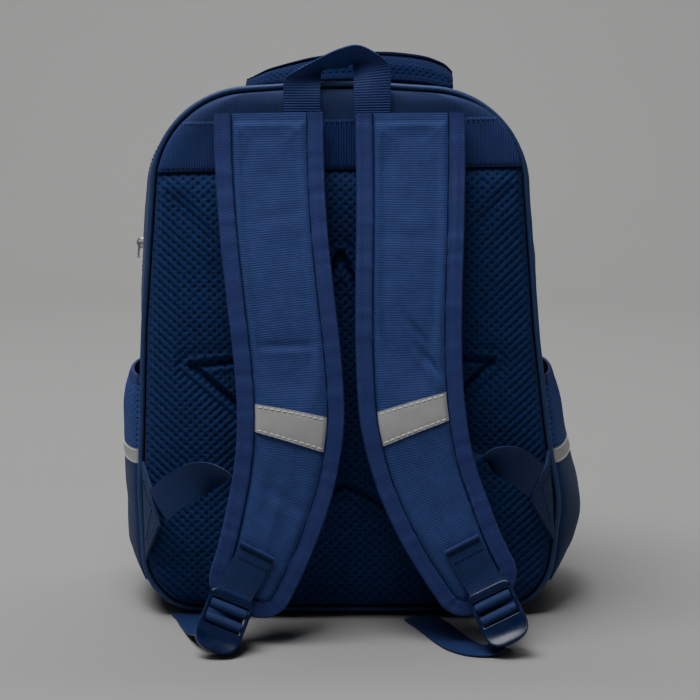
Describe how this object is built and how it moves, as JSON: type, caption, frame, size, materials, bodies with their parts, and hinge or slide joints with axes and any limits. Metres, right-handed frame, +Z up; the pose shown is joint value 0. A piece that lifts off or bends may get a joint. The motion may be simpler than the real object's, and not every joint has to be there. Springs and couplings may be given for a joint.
{
  "type": "school backpack",
  "caption": "Navy school backpack standing on its base, with padded shoulder straps, a quilted mesh back, mesh side pockets, a hang loop and a padded carry handle.",
  "frame": {"origin": "middle of the flat base, on the surface that the bag stands on", "axes": "+Z up from the base, -Y towards the shoulder straps and the wearer's back, +Y towards the plain front, +X to the right seen from the straps"},
  "size_m": [0.333, 0.2691, 0.3992],
  "materials": {
    "cloth": "woven polyester with a fine rib",
    "mesh": "open air mesh",
    "binding": "twill tape",
    "webbing": "ribbed webbing",
    "piping": "smooth covered cord",
    "reflective": "silver reflective tape",
    "plastic": "moulded, satin",
    "metal": "plated"
  },
  "bodies": {
    "bag": {"back_pad": "mesh", "back_yoke": "cloth", "back_band": "webbing", "back_piping": "piping", "gusset_lower": "cloth", "gusset_rear": "cloth", "gusset_front": "cloth", "main_zip": "webbing", "front_panel": "cloth", "hang_loop": "webbing", "carry_handle": "mesh", "handle_binding_upper": "binding", "handle_binding_lower": "binding", "pocket_left": "cloth", "pocket_trim_left": "reflective", "pocket_mesh_left": "mesh", "strap_left": "cloth", "strap_binding_left": "binding", "reflector_left": "reflective", "buckle_tab_left": "webbing", "buckle_left": "plastic", "webbing_left": "webbing", "webbing_anchor_left": "cloth", "pocket_right": "cloth", "pocket_trim_right": "reflective", "pocket_mesh_right": "mesh", "strap_right": "cloth", "strap_binding_right": "binding", "reflector_right": "reflective", "buckle_tab_right": "webbing", "buckle_right": "plastic", "webbing_right": "webbing", "webbing_anchor_right": "cloth", "zip_slider": "metal"},
    "pull": {"zip_pull": "metal"}
  },
  "joints": [
    {"name": "zip_pull_swing", "type": "hinge", "parent": "bag", "child": "pull", "pos_m": [-0.14592, 0, 0.25751], "axis": [0, 1, 0], "range_deg": [0, 165]}
  ]
}
